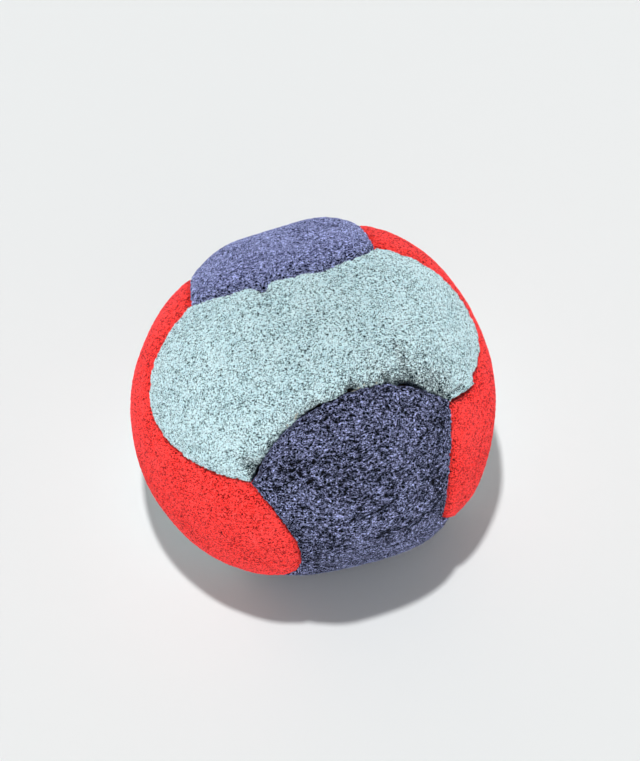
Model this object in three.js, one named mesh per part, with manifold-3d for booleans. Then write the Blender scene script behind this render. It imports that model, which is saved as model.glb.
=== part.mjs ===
import * as THREE from 'three';
import { ParametricGeometry } from 'three/addons/geometries/ParametricGeometry.js';
import { mergeGeometries, mergeVertices } from 'three/addons/utils/BufferGeometryUtils.js';
import Module from 'manifold-3d';

// A sand-filled footbag at rest: six hourglass suede panels sewn edge to edge.
// The bag stands on its flattened underside, +Z up, with the floor at Z zero.

const wasm = await Module();
wasm.setup();

// Outer form, in millimetres.
const halfWidth = 26;
const crownHeight = 25.2;
const restRadius = 9;
const restBlendShare = 0.06;
const shiftRight = 0.35;
const shiftBack = 0.17;

// Where the loose sand has settled: swells and hollows of the bag, as places around it and up
// it, with how far each spreads and how far it moves the suede.
const sandSwells = [
  { aroundDegrees: -158, upDegrees: -47, spreadDegrees: 50, height: 2.25 },
  { aroundDegrees: -41, upDegrees: -43, spreadDegrees: 30, height: 2.4 },
  { aroundDegrees: -94, upDegrees: -25, spreadDegrees: 19, height: -1.9 },
  { aroundDegrees: 86, upDegrees: 30, spreadDegrees: 12, height: -1 },
  { aroundDegrees: 125, upDegrees: 26, spreadDegrees: 38, height: -1.15 },
];

// Suede panels: each edge rolls over the fold into the seam, and the crown rises on behind it.
const wallThickness = 0.9;
const panelGap = 0.32;
const foldRadius = 0.75;
const shoulderDepth = 0.75;
const shoulderReach = 7.5;
const shoulderPower = 2.4;
const flangeDepth = 3;
const panelLongCellCount = 16;
const panelCrossCellCount = 12;
const edgeCrowdingShare = 0.75;
const endBendPower = 2.5;

// Seam curves: how far each seam bows aside from the plain cube layout, and how far its
// highest place lies toward its second end. This bag was sewn by hand, so some seams differ.
const seamPower = 2.4;
const evenSeam = { riseDegrees: 21, leanShare: 0 };
const unevenSeams = {
  blue_top_navy_back: { riseDegrees: 14.5, leanShare: 0.15 },
  blue_top_red_right: { riseDegrees: 32, leanShare: -0.1 },
  blue_top_red_left: { riseDegrees: 25, leanShare: 0.35 },
  navy_front_red_right: { riseDegrees: 20.5, leanShare: -0.25 },
  navy_back_red_left: { riseDegrees: 20, leanShare: -0.35 },
  navy_back_red_right: { riseDegrees: 14, leanShare: -0.3 },
};

// The upper corners lie off the cube layout, by angles around the bag and up it.
const cornerShifts = {
  back_left: { aroundDegrees: 0, upDegrees: 3 },
  back_right: { aroundDegrees: -3, upDegrees: 8 },
  front_right: { aroundDegrees: 5.5, upDegrees: 0 },
};
const noShift = { aroundDegrees: 0, upDegrees: 0 };
const tiltForwardDegrees = 8.7;
const tiltLeftDegrees = 3.5;

// Stitching.
const threadRadius = 0.25;
const needleHoleRadius = 0.45;
const stitchDepth = 1.8;
const stitchReach = 1.65;
const stitchTurn = 0.55;
const stitchCount = 6;
const seamEndShare = 0.1;
const stitchTurnShare = 0.018;
const frameStepShare = 0.01;
const threadSideCount = 4;
const knotRadius = 0.7;
const knotReach = 1.95;

// Sand fill, as depths under the panel surface from the seam inwards.
const fillCellCount = 10;
const fillDepths = [4.5, 4.4, 3.6, 1.6];

const paleBlue = 0xa9c7cf;
const navy = 0x3d4270;
const red = 0xe8473f;
const threadBrown = 0x8d7a66;
const sandTan = 0xc2ad84;

const panels = [
  { name: 'blue_panel_top', axis: 2, side: 1, color: paleBlue },
  { name: 'blue_panel_bottom', axis: 2, side: -1, color: paleBlue },
  { name: 'navy_panel_front', axis: 1, side: -1, color: navy },
  { name: 'navy_panel_back', axis: 1, side: 1, color: navy },
  { name: 'red_panel_left', axis: 0, side: -1, color: red },
  { name: 'red_panel_right', axis: 0, side: 1, color: red },
];
const closingSeamName = 'blue_top_navy_front';

const axisVectors = [new THREE.Vector3(1, 0, 0), new THREE.Vector3(0, 1, 0), new THREE.Vector3(0, 0, 1)];
const { degToRad, lerp } = THREE.MathUtils;
const tilt = new THREE.Euler(degToRad(tiltForwardDegrees), degToRad(-tiltLeftDegrees), 0);
const valleyDepth = foldRadius + shoulderDepth;

function directionAt({ aroundDegrees, upDegrees }) {
  const direction = axisVectors[0].clone().applyAxisAngle(axisVectors[1], degToRad(-upDegrees));
  return direction.applyAxisAngle(axisVectors[2], degToRad(aroundDegrees));
}

// How far the settled sand moves the surface out along a direction.
function swellAt(direction) {
  return sandSwells.reduce((sum, swell) => {
    const awayShare = direction.angleTo(directionAt(swell)) / degToRad(swell.spreadDegrees);
    return sum + swell.height * Math.exp(-(awayShare ** 2));
  }, 0);
}

// Height of the body surface: domed above, pressed flat where it meets the floor.
const restShare = Math.sqrt(1 - (restRadius / halfWidth) ** 2) / (1 + restBlendShare);
const floorDrop = crownHeight * restShare;

function settledHeight(heightShare) {
  const drop = -heightShare / restShare;
  if (drop < 1 - restBlendShare) return crownHeight * heightShare;
  if (drop > 1 + restBlendShare) return -floorDrop;
  return -floorDrop * (1 - (1 + restBlendShare - drop) ** 2 / (4 * restBlendShare));
}

// The point under a direction: depth follows the pillowed form, inset goes in from it.
function bodyPoint(direction, depth, inset) {
  const outward = 1 + (swellAt(direction) - depth) / halfWidth;
  const pressed = direction.clone().multiplyScalar(outward);
  const point = new THREE.Vector3(
    pressed.x * halfWidth,
    pressed.y * halfWidth,
    settledHeight(pressed.z),
  );
  return point.multiplyScalar(1 - inset / point.length());
}

function cornerDirection(signs) {
  const [across, along, up] = signs;
  const plain = new THREE.Vector3(...signs).normalize();
  const name = `${along > 0 ? 'back' : 'front'}_${across > 0 ? 'right' : 'left'}`;
  const shift = (up > 0 && cornerShifts[name]) || noShift;
  const around = axisVectors[2].clone().cross(plain).normalize();
  const upward = plain.clone().cross(around);
  plain.addScaledVector(around, Math.tan(degToRad(shift.aroundDegrees)));
  plain.addScaledVector(upward, Math.tan(degToRad(shift.upDegrees)));
  return plain.normalize();
}

// A seam runs between two corners that differ along one axis, and bows toward the axis before it.
function makeSeam(name, firstSigns, secondSigns) {
  const runAxis = firstSigns.findIndex((sign, axis) => sign !== secondSigns[axis]);
  const bowAxis = (runAxis + 2) % 3;
  const start = cornerDirection(firstSigns);
  const end = cornerDirection(secondSigns);
  const bowDirection = start.clone().cross(end).normalize();
  const bowSign = Math.sign(bowDirection.dot(axisVectors[bowAxis]) * firstSigns[bowAxis]);
  bowDirection.multiplyScalar(bowSign);
  const span = start.angleTo(end);
  const { riseDegrees, leanShare } = unevenSeams[name] ?? evenSeam;
  return (share) => {
    const place = 2 * share - 1;
    const bowShare = (1 - Math.abs(place) ** seamPower) * (1 + leanShare * place);
    const rise = degToRad(riseDegrees) * bowShare;
    const chord = start.clone().multiplyScalar(Math.sin((1 - share) * span) / Math.sin(span));
    chord.addScaledVector(end, Math.sin(share * span) / Math.sin(span));
    chord.multiplyScalar(Math.cos(rise)).addScaledVector(bowDirection, Math.sin(rise));
    return chord.applyEuler(tilt);
  };
}

// A seam is named after the two panels that it joins.
function seamName(key) {
  const sums = key.split(' ').map(Number);
  const joined = panels.filter((panel) => sums[panel.axis] * panel.side > 0);
  return joined.map((panel) => panel.name.replace('panel_', '')).join('_');
}

// All twelve seams, each listed from its lower corner to its upper one along the run axis.
const seams = new Map();
for (const runAxis of [0, 1, 2]) {
  for (const firstSide of [-1, 1]) {
    for (const secondSide of [-1, 1]) {
      const low = [0, 0, 0];
      low[runAxis] = -1;
      low[(runAxis + 1) % 3] = firstSide;
      low[(runAxis + 2) % 3] = secondSide;
      const high = [...low];
      high[runAxis] = 1;
      const key = seamKey(low, high);
      seams.set(key, makeSeam(seamName(key), low, high));
    }
  }
}

function seamKey(firstSigns, secondSigns) {
  return firstSigns.map((sign, axis) => sign + secondSigns[axis]).join(' ');
}

// Equal steps, drawn together toward both ends.
function crowdedShare(step, cells) {
  const evenShare = step / cells;
  return lerp(evenShare, (1 - Math.cos(evenShare * Math.PI)) / 2, edgeCrowdingShare);
}

// Directions along a seam, from the first corner to the second.
function seamRow(firstSigns, secondSigns, cells) {
  const seam = seams.get(seamKey(firstSigns, secondSigns));
  const row = Array.from({ length: cells + 1 }, (_, step) => seam(crowdedShare(step, cells)));
  const rising = firstSigns.every((sign, axis) => sign <= secondSigns[axis]);
  return rising ? row : row.reverse();
}

// The border of a panel as a closed loop of directions, seen counterclockwise from outside.
function panelLoop(panel, longCells, crossCells) {
  const longAxis = (panel.axis + 1) % 3;
  const crossAxis = (panel.axis + 2) % 3;
  const corners = [[-1, -1], [1, -1], [1, 1], [-1, 1]].map(([along, across]) => {
    const signs = [0, 0, 0];
    signs[panel.axis] = panel.side;
    signs[longAxis] = along;
    signs[crossAxis] = across * panel.side;
    return signs;
  });
  return corners.flatMap((corner, index) => {
    const cells = index % 2 === 0 ? longCells : crossCells;
    return seamRow(corner, corners[(index + 1) % 4], cells).slice(0, cells);
  });
}

// Moves every point of a loop into the panel, keeping the distance to both neighbouring edges.
function insetLoop(loop, distance) {
  return loop.map((point, index) => {
    const before = loop.at(index - 1);
    const after = loop[(index + 1) % loop.length];
    const firstNormal = before.clone().cross(point).normalize();
    const secondNormal = point.clone().cross(after).normalize();
    const move = firstNormal.clone().add(secondNormal).divideScalar(1 + firstNormal.dot(secondNormal));
    return point.clone().addScaledVector(move, distance / halfWidth).normalize();
  });
}

// Fills a closed loop with a grid of directions: straight lines across between its two long
// sides, bent near each end to follow the end seam there.
function fillLoop(loop, longCells, crossCells) {
  const at = (index) => loop[index % loop.length];
  const nearLong = (column) => at(column);
  const farLong = (column) => at(2 * longCells + crossCells - column);
  const lowEnd = (row) => at(2 * longCells + 2 * crossCells - row);
  const highEnd = (row) => at(longCells + row);
  const straight = (column, row) => {
    const acrossShare = crowdedShare(row, crossCells);
    return nearLong(column).clone().lerp(farLong(column), acrossShare).normalize();
  };
  const gridPoint = (column, row) => {
    if (row === 0) return nearLong(column);
    if (row === crossCells) return farLong(column);
    if (column === 0) return lowEnd(row);
    if (column === longCells) return highEnd(row);
    const point = straight(column, row);
    const lowBend = lowEnd(row).clone().sub(straight(0, row));
    const highBend = highEnd(row).clone().sub(straight(longCells, row));
    const alongShare = crowdedShare(column, longCells);
    point.addScaledVector(lowBend, (1 - alongShare) ** endBendPower);
    point.addScaledVector(highBend, alongShare ** endBendPower);
    return point.normalize();
  };
  return Array.from({ length: crossCells + 1 }, (_, row) => (
    Array.from({ length: longCells + 1 }, (_, column) => gridPoint(column, row))
  ));
}

// How deep the pillowed surface lies under a direction, by how near the panel's edge is.
function pillowDepth(direction, edge) {
  const nearest = Math.min(...edge.map((point) => point.angleTo(direction))) * halfWidth;
  const intoFold = Math.max(foldRadius - nearest, 0);
  const fold = foldRadius - Math.sqrt(foldRadius ** 2 - intoFold ** 2);
  const shoulderShare = Math.max(1 - nearest / shoulderReach, 0) ** shoulderPower;
  return fold + shoulderDepth * shoulderShare;
}

// A sheet through rows of points, facing the side from which the rows rise counterclockwise.
function sheetThrough(rows) {
  const columns = rows[0].length - 1;
  const stacks = rows.length - 1;
  const surface = (across, up, target) => {
    target.copy(rows[Math.round(up * stacks)][Math.round(across * columns)]);
  };
  const sheet = new ParametricGeometry(surface, columns, stacks);
  return positionsOnly(sheet);
}

function positionsOnly(geometry) {
  geometry.deleteAttribute('uv');
  geometry.deleteAttribute('normal');
  return geometry;
}

function transposed(grid) {
  return grid[0].map((_, column) => grid.map((line) => line[column]));
}

function closedRing(loop, depth, inset) {
  return [...loop, loop[0]].map((direction) => bodyPoint(direction, depth, inset));
}

// One panel: crowned suede with its seam allowance turned in all the way around.
function makePanelShell(panel) {
  const border = panelLoop(panel, panelLongCellCount, panelCrossCellCount);
  const outerLoop = insetLoop(border, panelGap / 2);
  const innerLoop = insetLoop(border, panelGap / 2 + wallThickness);
  const surfaceGrid = (loop, inset) => {
    const grid = fillLoop(loop, panelLongCellCount, panelCrossCellCount);
    return grid.map((line) => line.map((direction) => (
      bodyPoint(direction, pillowDepth(direction, outerLoop), inset)
    )));
  };
  const outerEdge = closedRing(outerLoop, valleyDepth, 0);
  const outerTip = closedRing(outerLoop, valleyDepth, flangeDepth);
  const innerRim = innerLoop.map((direction) => (
    bodyPoint(direction, pillowDepth(direction, outerLoop), wallThickness)
  ));
  const innerEdge = [...innerRim, innerRim[0]];
  const innerTip = closedRing(innerLoop, valleyDepth, flangeDepth);
  const sheets = [
    sheetThrough(surfaceGrid(outerLoop, 0)),
    sheetThrough(transposed(surfaceGrid(innerLoop, wallThickness))),
    sheetThrough([outerTip, outerEdge]),
    sheetThrough([innerEdge, innerTip]),
    sheetThrough([innerTip, outerTip]),
  ];
  return mergeVertices(mergeGeometries(sheets));
}

function solidFrom(geometry) {
  const mesh = new wasm.Mesh({
    numProp: 3,
    vertProperties: new Float32Array(geometry.getAttribute('position').array),
    triVerts: new Uint32Array(geometry.getIndex().array),
  });
  return new wasm.Manifold(mesh);
}

function geometryFrom(solid) {
  const mesh = solid.getMesh();
  const geometry = new THREE.BufferGeometry();
  geometry.setAttribute('position', new THREE.BufferAttribute(mesh.vertProperties, 3));
  geometry.setIndex(new THREE.BufferAttribute(mesh.triVerts, 1));
  return geometry;
}

// The frame of the stitch line at a share of a seam: its point and the way across the seam.
function stitchFrame(seam, share) {
  const point = bodyPoint(seam(share), valleyDepth, stitchDepth);
  const run = bodyPoint(seam(share + frameStepShare), valleyDepth, stitchDepth);
  run.sub(bodyPoint(seam(share - frameStepShare), valleyDepth, stitchDepth));
  const across = point.clone().cross(run).normalize();
  return { point, across };
}

function stitchPoint(seam, share, reach) {
  const { point, across } = stitchFrame(seam, share);
  return point.addScaledVector(across, reach);
}

function holeShare(hole) {
  return lerp(seamEndShare, 1 - seamEndShare, hole / (stitchCount - 1));
}

// Needle holes through both seam allowances of one seam.
function makeNeedles(seam) {
  return Array.from({ length: stitchCount }, (_, hole) => {
    const { point, across } = stitchFrame(seam, holeShare(hole));
    const length = 2 * stitchReach;
    const needle = new THREE.CylinderGeometry(needleHoleRadius, needleHoleRadius, length, threadSideCount);
    needle.applyQuaternion(new THREE.Quaternion().setFromUnitVectors(axisVectors[1], across));
    needle.translate(point.x, point.y, point.z);
    return solidFrom(mergeVertices(positionsOnly(needle)));
  });
}

// A path through given points in equal shares, whatever the distances between them.
class StitchPath extends THREE.Curve {
  constructor(points) {
    super();
    this.points = points;
  }

  getPoint(share, target = new THREE.Vector3()) {
    const place = Math.min(share, 1) * (this.points.length - 1);
    const first = Math.min(Math.floor(place), this.points.length - 2);
    return target.copy(this.points[first]).lerp(this.points[first + 1], place - first);
  }

  getPointAt(share, target) {
    return this.getPoint(share, target);
  }

  getTangentAt(share, target) {
    return this.getTangent(share, target);
  }
}

// A running stitch: the thread crosses the seam at every needle hole and lies along it between.
function threadPath(seam) {
  const points = [];
  for (let hole = 0; hole < stitchCount; hole += 1) {
    const share = holeShare(hole);
    const side = hole % 2 === 0 ? 1 : -1;
    points.push(stitchPoint(seam, share - stitchTurnShare, -side * stitchReach));
    points.push(stitchPoint(seam, share, side * (stitchTurn - stitchReach)));
    points.push(stitchPoint(seam, share, side * (stitchReach - stitchTurn)));
    points.push(stitchPoint(seam, share + stitchTurnShare, side * stitchReach));
    if (hole < stitchCount - 1) {
      const halfway = (share + holeShare(hole + 1)) / 2;
      points.push(stitchPoint(seam, halfway, side * stitchReach));
    }
  }
  return points;
}

function makeThread(points) {
  const corners = Array.from({ length: threadSideCount }, (_, corner) => {
    const turn = (corner / threadSideCount) * 2 * Math.PI;
    return new THREE.Vector2(threadRadius * Math.cos(turn), threadRadius * Math.sin(turn));
  });
  const thread = new THREE.ExtrudeGeometry(new THREE.Shape(corners), {
    steps: points.length - 1,
    bevelEnabled: false,
    extrudePath: new StitchPath(points),
  });
  return mergeVertices(positionsOnly(thread));
}

// The seam closed by hand after filling: its thread ends in a knot inside the bag.
function makeKnottedThread(seam) {
  const points = threadPath(seam);
  const lastSide = stitchCount % 2 === 0 ? -1 : 1;
  const knotPlace = stitchPoint(seam, 1 - seamEndShare / 2, lastSide * knotReach);
  points.push(knotPlace);
  const knot = new THREE.IcosahedronGeometry(knotRadius, 1);
  knot.translate(knotPlace.x, knotPlace.y, knotPlace.z);
  const thread = solidFrom(makeThread(points));
  return geometryFrom(thread.add(solidFrom(mergeVertices(positionsOnly(knot)))));
}

// Depth of the sand under a cell, counted in cells from the nearest panel edge.
function fillDepth(column, row) {
  const fromEdge = Math.min(column, row, fillCellCount - column, fillCellCount - row);
  return fillDepths[Math.min(fromEdge, fillDepths.length - 1)];
}

function makeSandFill(panels) {
  const sheets = panels.map((panel) => {
    const border = panelLoop(panel, fillCellCount, fillCellCount);
    const grid = fillLoop(border, fillCellCount, fillCellCount);
    return sheetThrough(grid.map((line, row) => line.map((direction, column) => (
      bodyPoint(direction, pillowDepth(direction, border), fillDepth(column, row))
    ))));
  });
  return mergeVertices(mergeGeometries(sheets));
}

function suede(color) {
  return new THREE.MeshStandardMaterial({ color, roughness: 0.95, metalness: 0 });
}

function spunThread() {
  return new THREE.MeshStandardMaterial({ color: threadBrown, roughness: 0.8, metalness: 0 });
}

function looseSand() {
  return new THREE.MeshStandardMaterial({ color: sandTan, roughness: 1, metalness: 0 });
}

const footbag = new THREE.Group();

function addPiece(name, geometry, material) {
  const piece = new THREE.Mesh(geometry, material);
  piece.name = name;
  piece.position.set(shiftRight, shiftBack, floorDrop);
  footbag.add(piece);
}

const needles = [...seams.values()].flatMap(makeNeedles);
const needleSet = needles.reduce((joined, needle) => joined.add(needle));
for (const panel of panels) {
  const sewn = solidFrom(makePanelShell(panel)).subtract(needleSet);
  addPiece(panel.name, geometryFrom(sewn), suede(panel.color));
}
for (const [key, seam] of seams) {
  const name = seamName(key);
  const thread = name === closingSeamName ? makeKnottedThread(seam) : makeThread(threadPath(seam));
  addPiece(`thread_${name}`, thread, spunThread());
}
addPiece('sand_fill', makeSandFill(panels), looseSand());

export default footbag;
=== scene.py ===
import itertools
import math
import random

import bmesh
import bpy
import numpy as np
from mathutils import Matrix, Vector, kdtree


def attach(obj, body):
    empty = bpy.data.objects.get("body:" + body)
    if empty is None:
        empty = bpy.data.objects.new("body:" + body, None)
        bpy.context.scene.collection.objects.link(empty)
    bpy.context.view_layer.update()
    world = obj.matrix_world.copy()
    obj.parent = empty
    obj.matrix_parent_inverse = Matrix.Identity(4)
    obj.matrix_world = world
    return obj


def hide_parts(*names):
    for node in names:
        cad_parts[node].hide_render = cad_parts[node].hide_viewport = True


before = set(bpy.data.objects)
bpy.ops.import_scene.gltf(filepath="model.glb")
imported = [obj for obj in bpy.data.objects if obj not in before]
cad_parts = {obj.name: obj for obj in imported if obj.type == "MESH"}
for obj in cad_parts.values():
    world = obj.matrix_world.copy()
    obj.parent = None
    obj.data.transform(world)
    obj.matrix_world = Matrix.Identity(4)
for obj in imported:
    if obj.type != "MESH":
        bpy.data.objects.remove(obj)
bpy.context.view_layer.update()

mm = 0.001

# The settled ball form, the same as the CAD body: domed above, pressed flat on the floor.
bag = {
    "halfWidth": 26 * mm,
    "crownHeight": 25.2 * mm,
    "restRadius": 9 * mm,
    "restBlendShare": 0.06,
    "shiftRight": 0.35 * mm,
    "shiftBack": 0.17 * mm,
    "sandSwells": [  # around, up, spread in degrees, and how far each moves the suede
        (-158, -47, 50, 2.25 * mm),
        (-41, -43, 30, 2.4 * mm),
        (-94, -25, 19, -1.9 * mm),
        (86, 30, 12, -1 * mm),
        (125, 26, 38, -1.15 * mm),
    ],
}

# Six panels in three colours, each in a pair of opposite ones.
panels = [
    {"name": "blue_panel_top", "axis": 2, "side": 1},
    {"name": "blue_panel_bottom", "axis": 2, "side": -1},
    {"name": "navy_panel_front", "axis": 1, "side": -1},
    {"name": "navy_panel_back", "axis": 1, "side": 1},
    {"name": "red_panel_left", "axis": 0, "side": -1},
    {"name": "red_panel_right", "axis": 0, "side": 1},
]

# The seam layout, with the hand-sewn unevenness of this bag.
layout = {
    "power": 2.4,
    "evenSeam": (21, 0),  # rise in degrees and lean share
    "unevenSeams": {
        "blue_top_navy_back": (14.5, 0.15),
        "blue_top_red_right": (32, -0.1),
        "blue_top_red_left": (25, 0.35),
        "navy_front_red_right": (20.5, -0.25),
        "navy_back_red_left": (20, -0.35),
        "navy_back_red_right": (14, -0.3),
    },
    "cornerShifts": {"back_left": (0, 3), "back_right": (-3, 8), "front_right": (5.5, 0)},
    "tiltForwardDegrees": 8.7,
    "tiltLeftDegrees": 3.5,
    "endBendPower": 2.5,
}

restShare = math.sqrt(1 - (bag["restRadius"] / bag["halfWidth"]) ** 2) / (1 + bag["restBlendShare"])
floorDrop = bag["crownHeight"] * restShare
centre = Vector((bag["shiftRight"], bag["shiftBack"], floorDrop))


def unit(vectors):
    return vectors / np.linalg.norm(vectors, axis=-1, keepdims=True)


def tiltMatrix():
    a, b = math.radians(layout["tiltForwardDegrees"]), math.radians(-layout["tiltLeftDegrees"])
    aroundX = np.array([[1, 0, 0], [0, math.cos(a), -math.sin(a)], [0, math.sin(a), math.cos(a)]])
    aroundY = np.array([[math.cos(b), 0, math.sin(b)], [0, 1, 0], [-math.sin(b), 0, math.cos(b)]])
    return aroundX @ aroundY


tilt = tiltMatrix()


def settledHeights(shares):
    blend = bag["restBlendShare"]
    drop = -shares / restShare
    eased = 1 - (1 + blend - drop) ** 2 / (4 * blend)
    lower = np.where(drop > 1 + blend, 1.0, eased)
    return np.where(drop < 1 - blend, bag["crownHeight"] * shares, -floorDrop * lower)


def directionAt(around, up):
    around, up = math.radians(around), math.radians(up)
    return np.array([math.cos(up) * math.cos(around), math.cos(up) * math.sin(around), math.sin(up)])


# How far the settled sand moves the surface out.
def swellAt(directions):
    total = np.zeros(directions.shape[:-1])
    for around, up, spread, height in bag["sandSwells"]:
        away = np.degrees(np.arccos(np.clip(directions @ directionAt(around, up), -1, 1)))
        total += height * np.exp(-((away / spread) ** 2))
    return total


# Points under unit directions: depth follows the pillowed form, inset goes in from it.
def bodyPoints(directions, depths, insets):
    outward = 1 + (swellAt(directions) - depths) / bag["halfWidth"]
    pressed = directions * outward[..., None]
    points = np.stack([
        pressed[..., 0] * bag["halfWidth"],
        pressed[..., 1] * bag["halfWidth"],
        settledHeights(pressed[..., 2]),
    ], axis=-1)
    points = points * (1 - insets / np.linalg.norm(points, axis=-1))[..., None]
    return points + np.array(centre)


def cornerDirection(signs):
    plain = unit(np.array(signs, float))
    name = ("back" if signs[1] > 0 else "front") + "_" + ("right" if signs[0] > 0 else "left")
    around, up = layout["cornerShifts"].get(name, (0, 0)) if signs[2] > 0 else (0, 0)
    east = unit(np.cross([0, 0, 1], plain))
    north = np.cross(plain, east)
    return unit(plain + math.tan(math.radians(around)) * east + math.tan(math.radians(up)) * north)


def inOrder(first, second):
    rising = all(a <= b for a, b in zip(first, second))
    return (first, second, True) if rising else (second, first, False)


def seamName(low, high):
    sums = [a + b for a, b in zip(low, high)]
    joined = [p["name"] for p in panels if sums[p["axis"]] * p["side"] > 0]
    return "_".join(n.replace("panel_", "") for n in joined)


# What the needle left along the seams. Places and half lengths are shares of a seam.
handwork = {
    "swing": 0.03 * mm,
    "swingRange": (0.3, 1),
    "cycles": (3, 5, 7, 9, 12),
    "endFade": 30,  # how steeply the notches fade out at a seam's ends
    "notches": {  # place, half length, and how far the seam turns aside
        "blue_top_navy_back": [
            (0.38, 0.028, 1.1 * mm), (0.46, 0.03, -0.25 * mm), (0.28, 0.05, -0.3 * mm),
            (0.59, 0.035, -0.35 * mm), (0.7, 0.04, 0.3 * mm), (0.83, 0.04, -0.2 * mm),
            (0.14, 0.04, -0.2 * mm),
        ],
        "blue_top_navy_front": [
            (0.47, 0.03, -0.2 * mm), (0.56, 0.02, 0.2 * mm), (0.64, 0.03, -0.22 * mm),
            (0.73, 0.02, 0.15 * mm), (0.78, 0.02, -0.2 * mm), (0.84, 0.025, 0.35 * mm),
            (0.92, 0.03, -0.3 * mm), (0.1, 0.03, 0.15 * mm),
        ],
        "blue_top_red_left": [(0.55, 0.05, 0.2 * mm), (0.8, 0.04, 0.2 * mm)],
        "blue_top_red_right": [(0.052, 0.036, 3 * mm), (0.17, 0.04, -0.2 * mm)],
    },
    "gaps": {  # place, half length, and how far the edges part
        "blue_top_navy_front": [
            (0.03, 0.04, 0.25 * mm), (0.38, 0.07, 0.16 * mm), (0.56, 0.025, 0.25 * mm),
            (0.735, 0.02, 0.15 * mm), (0.84, 0.03, 0.45 * mm),
        ],
        "blue_top_red_right": [(0.05, 0.05, 0.25 * mm), (0.15, 0.04, 0.2 * mm)],
        "blue_top_navy_back": [(0.38, 0.025, 0.2 * mm), (0.7, 0.05, 0.15 * mm)],
    },
}


def humps(table, name, shares):
    total = np.zeros_like(shares)
    for place, halfLength, height in table.get(name, []):
        total += height * np.exp(-((shares - place) / halfLength) ** 2)
    return total


def seamWave(name, shares):
    draw = random.Random(name)
    total = np.zeros_like(shares)
    for cycles in handwork["cycles"]:
        strength = draw.uniform(*handwork["swingRange"])
        total += strength * np.sin(2 * math.pi * (cycles * shares / 2 + draw.random()))
    total *= handwork["swing"] * np.clip(np.sin(math.pi * shares), 0, 1) ** 0.5
    ends = np.clip(handwork["endFade"] * shares * (1 - shares), 0, 1)
    return (total + ends * humps(handwork["notches"], name, shares)) / bag["halfWidth"]


# Directions along a seam at given shares, from the first corner to the second.
def seamRow(first, second, shares):
    low, high, rising = inOrder(first, second)
    shares = shares if rising else 1 - shares
    bowAxis = ([a != b for a, b in zip(low, high)].index(True) + 2) % 3
    start, end = cornerDirection(low), cornerDirection(high)
    side = unit(np.cross(start, end))
    side = side * math.copysign(1, side[bowAxis] * low[bowAxis])
    span = math.acos(float(start @ end))
    name = seamName(low, high)
    place = 2 * shares - 1
    riseDegrees, lean = layout["unevenSeams"].get(name, layout["evenSeam"])
    bow = (1 - np.abs(place) ** layout["power"]) * (1 + lean * place)
    rise = math.radians(riseDegrees) * bow + seamWave(name, shares)
    chord = np.sin((1 - shares) * span)[:, None] * start + np.sin(shares * span)[:, None] * end
    chord = chord / math.sin(span)
    return (np.cos(rise)[:, None] * chord + np.sin(rise)[:, None] * side) @ tilt.T


def panelCorners(panel):
    corners = []
    for along, across in [(-1, -1), (1, -1), (1, 1), (-1, 1)]:
        signs = [0, 0, 0]
        signs[panel["axis"]] = panel["side"]
        signs[(panel["axis"] + 1) % 3] = along
        signs[(panel["axis"] + 2) % 3] = across * panel["side"]
        corners.append(tuple(signs))
    return corners


# The border of a panel as a loop of directions, with the seam and the share of each point.
def panelLoop(panel, longShares, crossShares):
    corners = panelCorners(panel)
    rows, names, places = [], [], []
    for side, (first, second) in enumerate(zip(corners, corners[1:] + corners[:1])):
        shares = longShares if side % 2 == 0 else crossShares
        steps = shares if side < 2 else 1 - shares[::-1]
        low, high, rising = inOrder(first, second)
        rows.append(seamRow(first, second, steps)[:-1])
        names += [seamName(low, high)] * (len(steps) - 1)
        places.append((steps if rising else 1 - steps)[:-1])
    return np.concatenate(rows), np.array(names), np.concatenate(places)


# Moves a loop into the panel by one distance, or by one for each point.
def insetLoop(loop, distance):
    firstNormal = unit(np.cross(np.roll(loop, 1, axis=0), loop))
    secondNormal = unit(np.cross(loop, np.roll(loop, -1, axis=0)))
    move = (firstNormal + secondNormal) / (1 + (firstNormal * secondNormal).sum(axis=1))[:, None]
    return unit(loop + move * np.reshape(distance, (-1, 1)) / bag["halfWidth"])


# Fills a loop with rows of directions, straight across and bent near each end.
def fillLoop(loop, longShares, crossShares):
    n, m = len(longShares) - 1, len(crossShares) - 1
    near = loop[: n + 1]
    highEnd = loop[n : n + m + 1]
    far = loop[n + m : 2 * n + m + 1][::-1]
    lowEnd = np.concatenate([loop[2 * n + m :], loop[:1]])[::-1]
    across = crossShares[:, None, None]
    along = longShares[None, :, None]
    grid = unit(near[None] * (1 - across) + far[None] * across)
    lowBend = lowEnd[:, None] - grid[:, :1]
    highBend = highEnd[:, None] - grid[:, -1:]
    power = layout["endBendPower"]
    grid = unit(grid + lowBend * (1 - along) ** power + highBend * along ** power)
    grid[0], grid[-1] = near, far
    grid[:, 0], grid[:, -1] = lowEnd, highEnd
    return grid


# Shares that lie closer together near both ends, where the suede folds under.
def easedShares(count, crowding):
    even = np.linspace(0, 1, count + 1)
    return (1 - crowding) * even + crowding * (1 - np.cos(math.pi * even)) / 2


noiseCells = 61  # along each side of the noise table, which repeats after them


# Smooth random heights between -1 and 1 in space, a value for each cell of the given size.
def softNoise(points, size, seed):
    table = np.random.RandomState(seed).rand(noiseCells, noiseCells, noiseCells) * 2 - 1
    cells = points / size
    low = np.floor(cells).astype(int)
    part = cells - low
    part = part * part * (3 - 2 * part)
    total = np.zeros(len(points))
    for corner in itertools.product((0, 1), repeat=3):
        weight = np.prod(np.where(corner, part, 1 - part), axis=1)
        total += weight * table[tuple(((low + corner) % noiseCells).T)]
    return total


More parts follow.
